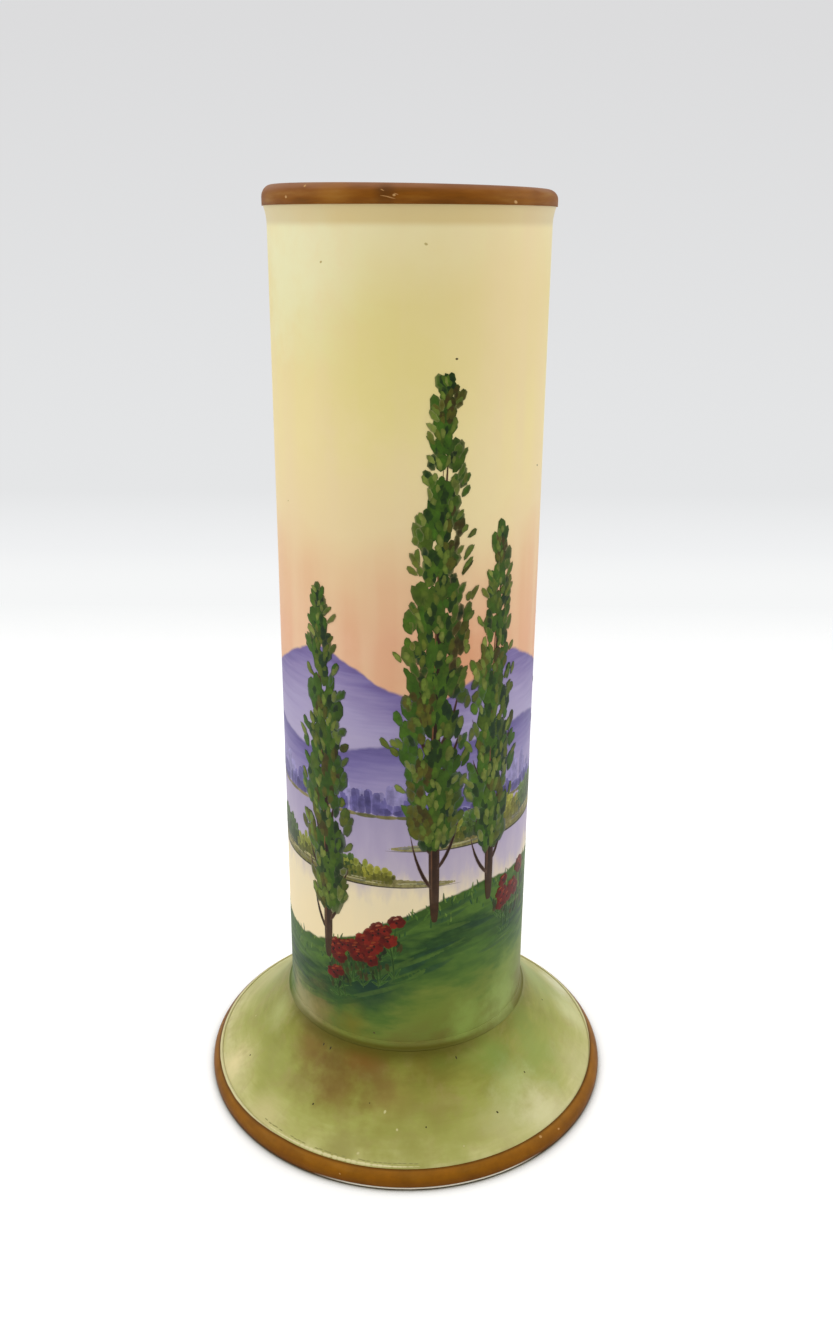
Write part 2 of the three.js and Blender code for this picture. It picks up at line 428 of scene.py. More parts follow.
def blotted(tree, ground, at_mm, patches):
    """Blends soft, ragged patches of colour over a ground, each about a place in mm."""
    drift = add(tree, "TexNoise", {"Vector": at_mm, "Scale": 1 / BLOT_MM, "Detail": 5, "Roughness": 0.65})
    for place, reach, strength, colour in patches:
        gap = add(tree, "VectorMath", {0: at_mm, 1: place}, operation="DISTANCE")
        gap = add(tree, "Math", {0: drift, 1: reach * BLOT_WANDER, 2: gap}, operation="MULTIPLY_ADD")
        amount = add(tree, "MapRange", {
            "Value": gap, "From Min": reach * BLOT_EDGE[0], "From Max": reach * BLOT_EDGE[1],
            "To Max": strength}, interpolation_type="SMOOTHSTEP")
        ground = add(tree, "Mix", {0: amount, 6: ground, 7: colour}, data_type="RGBA")
    return ground


def on_wall_blotted(tree, ground, at_mm, patches):
    """The same for patches that are given by degrees round from the front and a height."""
    placed = []
    for degrees, level, *rest in patches:
        turn = math.radians(degrees)
        placed.append(((WALL_RADIUS * math.sin(turn), -WALL_RADIUS * math.cos(turn), level), *rest))
    return blotted(tree, ground, at_mm, placed)


def brush_marks(tree, at_mm, around, up, detail=3, roughness=0.5):
    """Soft marks of a brush, drawn out to so many mm round the vase and up it."""
    drawn_out = add(tree, "Mapping", {"Vector": at_mm, "Scale": (1 / around, 1 / around, 1 / up)})
    return add(tree, "TexNoise", {
        "Vector": drawn_out, "Scale": 1.0, "Detail": detail, "Roughness": roughness})


def crease_pool_and_shade(tree, ground, at_mm, near):
    """Darkens a ground near the crease, most at the front left: pooled glaze and painted shade in the
    crease.
    """
    forward = add(tree, "VectorMath", {0: at_mm, 1: DARKEST_WAY}, operation="DOT_PRODUCT")
    around = add(tree, "MapRange", {
        "Value": forward, "From Min": WALL_RADIUS * 0.5, "From Max": WALL_RADIUS * 0.97,
        "To Min": LIGHTEST_SHARE}, interpolation_type="SMOOTHSTEP")
    amount = add(tree, "Math", {0: near, 1: around}, operation="MULTIPLY")
    return add(tree, "Mix", {0: amount, 6: ground, 7: CREASE_POOL_AND_SHADE_OLIVE}, data_type="RGBA")


def satin_glaze(tree, ground, at_mm):
    """Ends a material in the faintly rippled satin glaze that both cast pieces wear."""
    ripple = add(tree, "TexNoise", {"Vector": at_mm, "Scale": 1 / RIPPLE_MM, "Detail": 2})
    bump = add(tree, "Bump", {"Height": ripple, "Strength": 0.15, "Distance": RIPPLE_DEEP_MM * MM})
    surface = add(tree, "BsdfPrincipled", {
        "Base Color": ground, "Normal": bump, "Roughness": 0.48, "IOR": 1.5,
        "Specular IOR Level": 0.14}, name="glaze_surface")
    add(tree, "OutputMaterial", {"Surface": surface})


glaze, tree = new_material("painted_satin_glaze")
at_mm = place_in_mm(tree)
axes = add(tree, "SeparateXYZ", {0: at_mm}).outputs
forward = add(tree, "Math", {0: axes["Y"], 1: -1}, operation="MULTIPLY")
turn = add(tree, "Math", {0: axes["X"], 1: forward}, operation="ARCTAN2")
cloud = add(tree, "TexNoise", {
    "Vector": at_mm, "Scale": 1 / SKY_CLOUD_MM, "Detail": 3, "Roughness": 0.45})
sky = add(tree, "Math", {0: cloud, 1: SKY_DRIFT_MM, 2: axes["Z"]}, operation="MULTIPLY_ADD")
sky = add(tree, "Math", {
    0: sky, 1: 1 / SKY_TOP_MM, 2: -SKY_DRIFT_MM / 2 / SKY_TOP_MM}, operation="MULTIPLY_ADD")
sky = add(tree, "ValToRGB", {"Fac": sky}, shares(SKY_STOPS_MM, SKY_TOP_MM))
upright = brush_marks(tree, at_mm, *SKY_WASH_MM, detail=2)
upright = add(tree, "MapRange", {"Value": upright, "From Min": 0.45, "From Max": 0.7, "To Max": 0.5})
ground = add(tree, "Mix", {0: upright, 6: sky, 7: SKY_WASH}, data_type="RGBA")
ground = on_wall_blotted(tree, ground, at_mm, SKY_PATCHES)
for wash in WASHES.values():
    edge = wash["level"]
    for turns, phase, swing in wash["waves"]:
        wave = add(tree, "Math", {0: turn, 1: turns, 2: math.radians(phase)}, operation="MULTIPLY_ADD")
        wave = add(tree, "Math", {0: wave}, operation="SINE")
        edge = add(tree, "Math", {0: wave, 1: swing, 2: edge}, operation="MULTIPLY_ADD")
    for around, top, fall in wash["peaks"]:
        side = add(tree, "Math", {
            0: turn, 1: 0.5, 2: -math.radians(around) / 2}, operation="MULTIPLY_ADD")
        side = add(tree, "Math", {0: side}, operation="SINE")
        side = add(tree, "Math", {0: side, 1: side, 2: PEAK_ROUND}, operation="MULTIPLY_ADD")
        side = add(tree, "Math", {0: side}, operation="SQRT")
        peak = add(tree, "Math", {0: side, 1: -fall, 2: top}, operation="MULTIPLY_ADD")
        edge = add(tree, "Math", {0: edge, 1: peak, 2: PEAK_JOIN_MM}, operation="SMOOTH_MAX")
    ragged = add(tree, "TexNoise", {"Vector": at_mm, "Scale": 1 / wash["ragged"], "Detail": 4})
    edge = add(tree, "Math", {0: ragged, 1: wash["rough"] * 2, 2: edge}, operation="MULTIPLY_ADD")
    depth = add(tree, "Math", {0: edge, 1: axes["Z"]}, operation="SUBTRACT")
    cover = add(tree, "MapRange", {
        "Value": depth, "From Min": -wash["soft"], "From Max": wash["soft"]},
        interpolation_type="SMOOTHSTEP")
    marks = brush_marks(tree, at_mm, *wash["grain"], roughness=0.55)
    centred = add(tree, "Math", {0: marks, 1: 0.5}, operation="SUBTRACT")
    drawn = add(tree, "Math", {0: centred, 1: wash["mix"], 2: depth}, operation="MULTIPLY_ADD")
    share = add(tree, "Math", {0: drawn, 1: wash["span"]}, operation="DIVIDE")
    tint = add(tree, "ValToRGB", {"Fac": share}, shares(wash["colours"], wash["span"]))
    ground = add(tree, "Mix", {0: cover, 6: ground, 7: tint}, data_type="RGBA")
ground = on_wall_blotted(tree, ground, at_mm, GRASS_PATCHES)
# Painted shadow of the rolled lip on the undercut below it, with a slight tan of the glaze there. It is
# greyer towards the left and right sides.
under_lip_shadow = add(tree, "MapRange", {
    "Value": axes["Z"], "From Min": UNDER_LIP_SHADOW_MM[0], "From Max": UNDER_LIP_SHADOW_MM[1],
    "To Max": UNDER_LIP_SHADOW_SHARE}, interpolation_type="SMOOTHSTEP")
aside = add(tree, "Math", {0: axes["X"], 1: axes["X"]}, operation="MULTIPLY")
aside = add(tree, "MapRange", {
    "Value": aside, "From Min": UNDER_LIP_SHADOW_SIDES_MM[0] ** 2, "From Max": UNDER_LIP_SHADOW_SIDES_MM[1] ** 2})
tint = add(tree, "Mix", {0: aside, 6: UNDER_LIP_SHADOW_TINTS[0], 7: UNDER_LIP_SHADOW_TINTS[1]}, data_type="RGBA")
ground = add(tree, "Mix", {0: under_lip_shadow, 6: ground, 7: tint}, data_type="RGBA")
satin_glaze(tree, ground, at_mm)

# Plain liner glaze in the bore and the hollow foot: a clear glaze over white clay with no colour painted
# on it, so the eye sees a clean, faintly clouded white.
LINER_CLOUDS_PER_MM = 0.12
liner, tree = new_material("white_liner_glaze")
stain = add(tree, "TexNoise", {
    "Vector": place_in_mm(tree), "Scale": LINER_CLOUDS_PER_MM, "Detail": 4})
tone = add(tree, "ValToRGB", {"Fac": stain}, {0.3: "#e6dfcb", 0.7: "#f0ebdc"})
surface = add(tree, "BsdfPrincipled", {"Base Color": tone, "Roughness": 0.35, "IOR": 1.5})
add(tree, "OutputMaterial", {"Surface": surface})

body = finished(bm, "body", [glaze, liner])
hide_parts("vase_body")
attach(body, "root")

# Foot
# The foot is a separately cast hollow skirt that flares out to a turned-down edge. It is glazed over
# brushed greens that thin to cream towards the edge, and it stands on a narrow ring of bare clay.

FOOT_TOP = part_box("flared_foot")[1].z / MM
edge_low, edge_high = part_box("foot_band")
FOOT_RADIUS = edge_high.x / MM
EDGE_TOP = edge_high.z / MM
EDGE_BASE = edge_low.z / MM
EDGE_REACH = 1.8
EDGE_LOW = 0.9
FOOT_WALL = 3.2
SHOULDER_RADIUS = WALL_RADIUS + 0.9
SHOULDER_ROUND = 0.5
HOLLOW_CURVE = 1.1
RING_WIDTH = 3.0
RING_BEVEL = 0.3
SEAT_BORE = 17.0
FLANGE_BASE = FOOT_TOP - 3.5


def shifted(outline, distance):
    """An open outline moved sideways by a distance, towards the left of the way it runs."""
    moved = []
    for index, (radius, level) in enumerate(outline):
        before = outline[max(index - 1, 0)]
        after = outline[min(index + 1, len(outline) - 1)]
        way = Vector(after) - Vector(before)
        way.normalize()
        moved.append((radius - way.y * distance, level + way.x * distance))
    return moved


def flare(upper, lower, steps=24):
    """The sweep of the skirt from its edge up to its shoulder, dipping below a straight cone."""
    across = Vector(lower) - Vector(upper)
    inward = Vector((across.y, -across.x)).normalized()
    return curve(lower, (Vector(upper) + Vector(lower)) / 2 + inward * 2 * HOLLOW_CURVE, upper, steps)


edge_upper = (FOOT_RADIUS - EDGE_REACH, EDGE_TOP)
edge_middle = (FOOT_RADIUS, (EDGE_LOW + EDGE_TOP) / 2)
edge_face = [(FOOT_RADIUS, EDGE_BASE)] + curve((FOOT_RADIUS, EDGE_LOW), edge_middle, edge_upper)
edge_clay = shifted(edge_face, ENAMEL_MM)
ring_outer = FOOT_RADIUS - ENAMEL_MM - RING_BEVEL
ring_inner = ring_outer - RING_WIDTH
shoulder = (SHOULDER_RADIUS - SHOULDER_ROUND, FOOT_TOP - SHOULDER_ROUND)
inner_top = (SHOULDER_RADIUS - FOOT_WALL, FLANGE_BASE)
inner_low = (ring_inner - RING_BEVEL, RING_BEVEL)
outline = [(ring_inner, 0), (ring_outer, 0), (ring_outer + RING_BEVEL, RING_BEVEL)]
outline += edge_clay
outline += flare((SHOULDER_RADIUS, FOOT_TOP - SHOULDER_ROUND), edge_clay[-1])[1:]
outline += arc(shoulder, SHOULDER_ROUND, 0, 90, 5)[1:]
outline += [(SEAT_BORE, FOOT_TOP), (SEAT_BORE, FLANGE_BASE)]
outline += list(reversed(flare(inner_top, inner_low, 12)))
outline += [(ring_inner, 0)]
bm = turned(outline)
for face in bm.faces:
    middle = face.calc_center_median()
    is_outside = face.normal.dot(Vector((middle.x, middle.y, 0))) > 0 or face.normal.z > 0.3
    is_outside = is_outside or middle.z < RING_BEVEL * MM
    face.material_index = 0 if is_outside else 1

# Brushed greens under a satin glaze. The eye sees olive and brown by the crease, darkened there by pooled
# glaze and painted crease shade, mottled yellow-green with marks that run round the skirt, and a thinner
# cream tone towards the edge and the left. A painted sheen pales the left and right sides of the skirt.
FOOT_COLOURS = {
    0.0: "#6c6a26", 0.08: "#78772e", 0.26: "#87883a", 0.42: "#949748",
    0.58: "#9fa054", 0.72: "#adac66", 0.86: "#bfbb80", 1.0: "#cfc898",
}
ROUND_MARKS = 5.0
MARKS_PER_MM = 0.9
MARKS_DRIFT = 0.42
BLOTS_DRIFT = 0.55
SIDES_PAINTED_SHEEN = 0.16
TONE_SPAN = 0.8
TAN = "#9c8c58"
TAN_MM = 5
BARE_CLAY = "#e2d8bb"
CREASE_REACH_MM = 1.6
FOOT_PATCHES = [
    # place in mm, reach in mm, strength and colour
    ((-18, -19, 15), 8, 0.8, "#765a22"), ((-7, -24, 16), 7, 0.85, "#6c5018"),
    ((4, -25, 16), 6, 0.6, "#6c5a1c"), ((-14, -25, 13), 7, 0.45, "#866430"),
    ((-4, -29, 11), 7, 0.6, "#8a683a"), ((6, -30, 10), 6, 0.4, "#86783c"),
    ((15, -20, 15), 8, 0.8, "#7d9040"), ((2, -35, 5), 6, 0.7, "#98964f"),
    ((25, -14, 10), 11, 0.7, "#8c9c50"), ((34, -11, 5), 9, 0.7, "#bdbb84"),
    ((22, -10, 15), 6, 0.7, "#738639"), ((28, -24, 4), 8, 0.5, "#ccc69c"),
    ((16, -31, 7), 8, 0.5, "#a9a468"), ((-25, -16, 9), 9, 0.4, "#8f9150"),
    ((-34, -12, 5), 8, 0.6, "#cdc592"), ((26, 8, 11), 12, 0.7, "#8c9c50"),
    ((14, 20, 14), 9, 0.7, "#76883a"), ((-16, 28, 9), 12, 0.5, "#86703a"),
    ((-30, 14, 7), 10, 0.5, "#b9b67a"), ((2, 34, 6), 9, 0.5, "#bdbb84"),
    ((-12, -25, 11), 10, 0.6, "#785f28"), ((-18, -22, 10), 7, 0.5, "#7d6832"),
    ((0, -34, 6), 11, 0.6, "#89873f"), ((-12, -35, 4), 7, 0.8, "#928c4e"),
    ((-13, -22, 14), 7, 0.7, "#5f4714"), ((10, -35, 4), 7, 0.6, "#96974e"),
    ((19, -28, 6), 7, 0.4, "#c3bf90"), ((21, -23, 9), 7, 0.6, "#b4ba7c"),
    ((25, -24, 5), 7, 0.6, "#d8d4a8"), ((-26, -25, 4), 6, 0.5, "#cbbe8c"),
    ((-34, -11, 4), 6, 0.7, "#e6d6a4"), ((-25, -7, 14), 6, 0.6, "#b2b676"),
    ((34, 4, 5), 7, 0.6, "#cfd2a0"), ((6, -24, 16), 4, 0.5, "#66782a"),
    ((-6, -27, 12), 6, 0.45, "#6e5c26"), ((-20, -23, 9), 5, 0.5, "#7f7038"),
    ((-9, -22, 16), 5, 0.5, "#7a4a14"), ((34, 16, 3), 8, 0.6, "#e2e3c8"),
    ((18, -20, 13), 5, 0.4, "#71883e"),
]
foot_glaze, tree = new_material("brushed_green_satin_glaze")
at_mm = place_in_mm(tree)
axes = add(tree, "SeparateXYZ", {0: at_mm}).outputs
flat = add(tree, "CombineXYZ", {0: axes["X"], 1: axes["Y"]})
radius = add(tree, "VectorMath", {0: flat}, operation="LENGTH")
way = add(tree, "VectorMath", {0: flat}, operation="NORMALIZE")
way_axes = add(tree, "SeparateXYZ", {0: way}).outputs
round_marks = add(tree, "VectorMath", {0: way, "Scale": ROUND_MARKS}, operation="SCALE")
mark_axes = add(tree, "SeparateXYZ", {0: round_marks}).outputs
mark_place = add(tree, "CombineXYZ", {0: mark_axes["X"], 1: mark_axes["Y"], 2: radius})
marks = add(tree, "TexNoise", {
    "Vector": mark_place, "Scale": MARKS_PER_MM, "Detail": 4, "Roughness": 0.6})
blots = add(tree, "TexNoise", {"Vector": at_mm, "Scale": 1 / BLOT_MM, "Detail": 3, "Roughness": 0.55})
tone = add(tree, "MapRange", {
    "Value": radius, "From Min": SHOULDER_RADIUS, "From Max": edge_clay[-1][0]}, clamp=False)
tone = add(tree, "Math", {0: marks, 1: MARKS_DRIFT, 2: tone}, operation="MULTIPLY_ADD")
tone = add(tree, "Math", {0: blots, 1: BLOTS_DRIFT, 2: tone}, operation="MULTIPLY_ADD")
tone = add(tree, "Math", {0: tone, 1: (MARKS_DRIFT + BLOTS_DRIFT) / 2}, operation="SUBTRACT")
# Painted sheen: the skirt is made paler towards its left and right sides, where it turns away and would
# show the white card.
side_sheen = add(tree, "Math", {0: way_axes["X"], 1: way_axes["X"]}, operation="MULTIPLY")
tone = add(tree, "Math", {0: side_sheen, 1: SIDES_PAINTED_SHEEN, 2: tone}, operation="MULTIPLY_ADD")
tone = add(tree, "Math", {0: tone, 1: TONE_SPAN}, operation="MULTIPLY")
brushed = add(tree, "ValToRGB", {"Fac": tone}, FOOT_COLOURS)
tan = add(tree, "TexNoise", {
    "Vector": at_mm, "Scale": 1 / TAN_MM, "Detail": 4, "Roughness": 0.65, "Distortion": 0.6})
tan = add(tree, "MapRange", {"Value": tan, "From Min": 0.48, "From Max": 0.72, "To Max": 0.5})
brushed = add(tree, "Mix", {0: tan, 6: brushed, 7: TAN}, data_type="RGBA")
ground = blotted(tree, brushed, at_mm, FOOT_PATCHES)
# Near the crease the foot darkens: pooled glaze with painted shade in the crease.
near = add(tree, "MapRange", {
    "Value": radius, "From Min": SHOULDER_RADIUS + CREASE_REACH_MM, "From Max": SHOULDER_RADIUS - 0.1,
    "To Max": 0.8}, interpolation_type="SMOOTHSTEP")
ground = crease_pool_and_shade(tree, ground, at_mm, near)
bare = add(tree, "MapRange", {"Value": axes["Z"], "From Min": EDGE_BASE + 0.15, "From Max": EDGE_BASE})
ground = add(tree, "Mix", {0: bare, 6: ground, 7: BARE_CLAY}, data_type="RGBA")
satin_glaze(tree, ground, at_mm)

foot = finished(bm, "foot", [foot_glaze, liner])
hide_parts("flared_foot")
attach(foot, "root")

# Crease
# A layer of slip lutes the body to the foot. Glaze ran down the wall and pooled in the groove that the
# slip leaves, so the crease is a soft hollow with a dark line that fades out round the sides. The dark
# line is pooled glaze with painted shade in the crease.

POOL_TOP = SEAT + 0.9
POOL_LOW = FOOT_TOP - 0.12
POOL_BACK = WALL_RADIUS - 0.5


def painted_over(material, name):
    """A copy of a glazed material to lay colour over: the copy, its tree, its surface's colour
    socket and the ground that the socket shows."""
    made = material.copy()
    made.name = name
    colour = made.node_tree.nodes["glaze_surface"].inputs["Base Color"]
    return made, made.node_tree, colour, colour.links[0].from_socket


outline = curve((SHOULDER_RADIUS - 0.1, POOL_LOW), (WALL_RADIUS + 0.12, FOOT_TOP + 0.1),
                (WALL_RADIUS + 0.02, POOL_TOP))
outline += [(POOL_BACK, POOL_TOP), (POOL_BACK, POOL_LOW), outline[0]]
bm = turned(outline)

# Pooled glaze starts as the wall's own colours and darkens to olive brown low in the crease, where it lies
# thickest. The darkening is also painted shade in the crease.
pooled_and_shaded, tree, colour, under = painted_over(glaze, "pooled_olive_glaze_and_shade")
at_mm = place_in_mm(tree)
axes = add(tree, "SeparateXYZ", {0: at_mm}).outputs
thick_and_shaded = add(tree, "MapRange", {
    "Value": axes["Z"], "From Min": SEAT + 0.5, "From Max": FOOT_TOP + 0.1},
    interpolation_type="SMOOTHSTEP")
dark = crease_pool_and_shade(tree, under, at_mm, thick_and_shaded)
tree.links.new(dark.outputs[2], colour)

pool = finished(bm, "glaze_pool", [pooled_and_shaded])
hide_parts("slip_joint")
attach(pool, "root")

# Lip band
# A band of brown enamel is brushed over the rolled lip and fired. Its lower edge is level on the wall
# side and dips a little inside the bore.

BAND_INSIDE = 2.0
BAND_THICK = 0.2
lip_face = [(LIP_RADIUS, LIP_BASE)]
lip_face += arc(lip_outer, LIP_OUTER_ROUND, 0, 90, 8)
lip_face += arc(lip_inner, LIP_ROUND, 90, 180, 8)
lip_face += [(BORE_RADIUS, LIP_TOP - BAND_INSIDE)]
bm = turned(lip_face + list(reversed(shifted(lip_face, BAND_THICK))) + [lip_face[0]])
tilt_lip(bm)

# Brown enamel put on with a brush. The eye sees fine marks round the lip, a painted mauve highlight along
# its top and darker or paler places where strokes overlap or run thin.
BROWNS = {0.3: "#6e3f00", 0.45: "#7c4704", 0.58: "#845110", 0.75: "#906329"}
BROWN_MARKS_MM = (8, 1.2)
LIP_TOP_HIGHLIGHT = "#8a624c"
HIGHLIGHT_WANDER_MM = 1.2
HIGHLIGHT_MM = (LIP_TOP - 0.5, LIP_TOP + 0.4)
HIGHLIGHT_SHARE = 0.55
BRUSH_OVERLAPS = [
    # place in mm, reach in mm, strength and colour
    ((-3.4, -23.2, 164.8), 2.2, 0.7, "#4c2a02"), ((5, -23, 163.6), 4, 0.4, "#663800"),
    ((-11, -20.6, 164.2), 4, 0.5, "#9a651c"), ((17, -16.2, 164), 4, 0.4, "#98631f"),
    ((9, 21.7, 164), 4, 0.6, "#5a3204"),
]
enamel_brown, tree = new_material("brushed_brown_enamel")
at_mm = place_in_mm(tree)
axes = add(tree, "SeparateXYZ", {0: at_mm}).outputs
marks = brush_marks(tree, at_mm, *BROWN_MARKS_MM)
tone = add(tree, "ValToRGB", {"Fac": marks}, BROWNS)
# Painted highlight: the top of the rolled lip is tinged mauve, as where it catches the light.
rise = add(tree, "Math", {0: marks, 1: HIGHLIGHT_WANDER_MM, 2: axes["Z"]}, operation="MULTIPLY_ADD")
top_highlight = add(tree, "MapRange", {
    "Value": rise, "From Min": HIGHLIGHT_MM[0], "From Max": HIGHLIGHT_MM[1], "To Max": HIGHLIGHT_SHARE},
    interpolation_type="SMOOTHSTEP")
with_highlight = add(tree, "Mix", {0: top_highlight, 6: tone, 7: LIP_TOP_HIGHLIGHT}, data_type="RGBA")
overlapped = blotted(tree, with_highlight, at_mm, BRUSH_OVERLAPS)
surface = add(tree, "BsdfPrincipled", {
    "Base Color": overlapped, "Roughness": 0.5, "IOR": 1.5, "Specular IOR Level": 0.12},
    name="glaze_surface")
add(tree, "OutputMaterial", {"Surface": surface})

lip_band = finished(bm, "lip_enamel", [enamel_brown])
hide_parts("lip_band")
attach(lip_band, "root")

# Foot band
# The same brown enamel covers the turned-down edge of the foot, brushed on while the vase turned. The
# band is a little narrower at the left and the back, and its low edge is bare at the front.

BAND_INNER = FOOT_RADIUS - EDGE_REACH
bm = turned(edge_face + list(reversed(shifted(edge_face, BAND_THICK))) + [edge_face[0]])

# Brown enamel with a dark edge. The eye sees a mottled brown with painted shade, lighter at the top of the
# turned-down edge and deeper downwards, a dark line along the inner edge, and a bare pale line low at the
# front.
SHADED_LOW_BROWN = "#573100"
LIT_HIGH_BROWN = "#946830"
INNER_LINE_BROWN = "#3c2208"
BARE_WHITE = "#f2ecdc"
BLOTCH_MM = 4
WAVER_MM = 3
WAVER_SHARE = 0.3
LIT_TO_SHADED_SHARE = 0.6
BARE_MIDDLE_MM = (5, -FOOT_RADIUS, 0)
BARE_REACH_MM = (15, 22)
BARE_RISE_MM = (0.24, 0.36)
INNER_LINE_MM = (0.1, 0.45)
NARROWER = [
    # axis, where along it the band begins and ends to narrow, and by how much, all in mm
    ("X", -20, -36, 0.5), ("Y", -8, 14, 0.7),
]
edged_brown, tree, colour, under = painted_over(enamel_brown, "dark_edged_brown_enamel")
at_mm = place_in_mm(tree)
axes = add(tree, "SeparateXYZ", {0: at_mm}).outputs
# Painted shade: the enamel is lighter at the top of the turned-down edge and darker low down on it.
rise = add(tree, "MapRange", {"Value": axes["Z"], "From Min": EDGE_BASE + 0.2, "From Max": EDGE_TOP})
lit_to_shaded = add(tree, "Mix", {0: rise, 6: SHADED_LOW_BROWN, 7: LIT_HIGH_BROWN}, data_type="RGBA")
toned = add(tree, "Mix", {0: LIT_TO_SHADED_SHARE, 6: under, 7: lit_to_shaded}, data_type="RGBA")
blotch = add(tree, "TexNoise", {"Vector": at_mm, "Scale": 1 / BLOTCH_MM, "Detail": 4, "Roughness": 0.6})
blotch = add(tree, "MapRange", {
    "Value": blotch, "From Min": 0.3, "From Max": 0.7, "To Min": 0.82, "To Max": 1.16})
toned = add(tree, "HueSaturation", {"Value": blotch, "Color": toned, "Saturation": 1.06})
flat = add(tree, "VectorMath", {0: at_mm, 1: (1, 1, 0)}, operation="MULTIPLY")
spread = add(tree, "VectorMath", {0: flat}, operation="LENGTH")
waver = add(tree, "TexNoise", {"Vector": at_mm, "Scale": 1 / WAVER_MM, "Detail": 2})
waver = add(tree, "Math", {0: waver, 1: WAVER_SHARE, 2: -WAVER_SHARE / 2}, operation="MULTIPLY_ADD")
at_left, at_back = [
    add(tree, "MapRange", {
        "Value": axes[axis], "From Min": begins, "From Max": ends, "To Max": most},
        interpolation_type="SMOOTHSTEP")
    for axis, begins, ends, most in NARROWER
]
narrowed = add(tree, "Math", {0: at_left, 1: at_back}, operation="MAXIMUM")
narrowed = add(tree, "Math", {0: narrowed, 1: waver, 2: narrowed}, operation="MULTIPLY_ADD")
inward = add(tree, "Math", {0: spread, 1: narrowed}, operation="SUBTRACT")
amount = add(tree, "MapRange", {
    "Value": inward, "From Min": BAND_INNER + INNER_LINE_MM[1],
    "From Max": BAND_INNER + INNER_LINE_MM[0], "To Max": 0.6})
dark = add(tree, "Mix", {0: amount, 6: toned, 7: INNER_LINE_BROWN}, data_type="RGBA")
unpainted = add(tree, "MapRange", {
    "Value": inward, "From Min": BAND_INNER, "From Max": BAND_INNER - 0.1})
pale = add(tree, "Mix", {0: unpainted, 6: dark, 7: FOOT_COLOURS[1.0]}, data_type="RGBA")
aside = add(tree, "VectorMath", {0: flat, 1: BARE_MIDDLE_MM}, operation="DISTANCE")
at_front = add(tree, "MapRange", {
    "Value": aside, "From Min": BARE_REACH_MM[1], "From Max": BARE_REACH_MM[0]})
low = add(tree, "MapRange", {
    "Value": axes["Z"], "From Min": EDGE_BASE + BARE_RISE_MM[1], "From Max": EDGE_BASE + BARE_RISE_MM[0]})
bare_edge = add(tree, "Math", {0: at_front, 1: low}, operation="MULTIPLY")
edged = add(tree, "Mix", {0: bare_edge, 6: pale, 7: BARE_WHITE}, data_type="RGBA")
tree.links.new(edged.outputs[2], colour)

foot_band = finished(bm, "foot_enamel", [edged_brown])
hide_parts("foot_band")
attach(foot_band, "root")

# Distant trees
# The painter laid the far shore's trees as a row of plump violet dabs, wet into wet. Every stroke of
# the picture is a low mound of overglaze enamel, which fires a few hundredths of a millimetre proud.

STROKE_RISE = 0.04
STROKE_SUNK = 0.02
LAYER_LIFT = 0.005
LOAD_MM = 1.3
ROUND_MM = 2 * math.pi * WALL_RADIUS


def on_wall(around, level, out):
    """A place on the wall in metres, from mm round from the front, height and stand-off in mm."""
    turn = around / WALL_RADIUS
    way = Vector((math.sin(turn), -math.cos(turn), 0))
    base = way * wall_radius(level) * MM + Vector((0, 0, level * MM))
    return base + way * (warp(base) + out * MM)


def dab(steps):
    """A unit dab, closed and round, whose points a stroke lays along its path on the wall."""
    made = bmesh.new()
    bmesh.ops.create_uvsphere(made, u_segments=12, v_segments=steps, radius=1)
    made.verts.index_update()
    return made


DABS = {steps: dab(steps) for steps in (4, 5, 10, 24, 30, 64)}


def stroke(bm, path, widths, layer, core, rim, cover=(1.0, 0.55), steps=5, blunt=0.0, lay=on_wall):
    """Lays one closed, low stroke of enamel along a path of three (around, height) points in mm.

    Its core and rim have a colour and a cover each. Even thin enamel tints the ground strongly, so
    the share of the ground that shows is the square of what the cover leaves.
    """
    paint = bm.verts.layers.float_color.get("paint") or bm.verts.layers.float_color.new("paint")
    laid = []
    for point in DABS[steps].verts:
        side, crest, along = point.co
        share = (along + 1) / 2
        here = Vector(bend(*path, share))
        ahead = Vector(bend(*path, share + 0.01)) - Vector(bend(*path, share - 0.01))
        ahead.normalize()
        ring = math.sqrt(max(1 - along * along, 0.0001))
        width = (widths[0] + (widths[1] - widths[0]) * share) * ring ** -blunt
        here += Vector((-ahead.y, ahead.x)) * side * width / 2
        out = STROKE_RISE * crest - STROKE_SUNK + (layer * LAYER_LIFT if crest > -0.1 else 0)
        laid.append(bm.verts.new(lay(here.x, here.y, out)))
        top = min(max((crest - 0.4) / 0.5, 0), 1)
        colour = [a + (b - a) * top for a, b in zip(rim, core)]
        bare_share = 1 - cover[1] - (cover[0] - cover[1]) * top
        laid[-1][paint] = (*colour[:3], 1 - bare_share ** 2)
    for face in DABS[steps].faces:
        bm.faces.new([laid[point.index] for point in face.verts])


def shade(hex_colour, amount):
    """A colour made darker or lighter by a share of itself."""
    return [part * (1 + amount) for part in linear(hex_colour)]


# The strokes' enamel starts as the ground's own colours, so that a thin rim lets the ground through.
# The eye sees each dab's colour vary in strength, as a loaded brush leaves it.
enamel, tree, colour, under = painted_over(glaze, "painted_enamel_strokes")
paint = add(tree, "Attribute", attribute_type="GEOMETRY", attribute_name="paint")
load = add(tree, "TexNoise", {
    "Vector": place_in_mm(tree), "Scale": 1 / LOAD_MM, "Detail": 3, "Roughness": 0.6})
load = add(tree, "MapRange", {
    "Value": load, "From Min": 0.3, "From Max": 0.7, "To Min": 0.7, "To Max": 1.3})
tone = add(tree, "HueSaturation", {"Value": load, "Color": paint})
laid = add(tree, "Mix", {0: paint.outputs["Alpha"], 6: under, 7: tone}, data_type="RGBA")
tree.links.new(laid.outputs[2], colour)

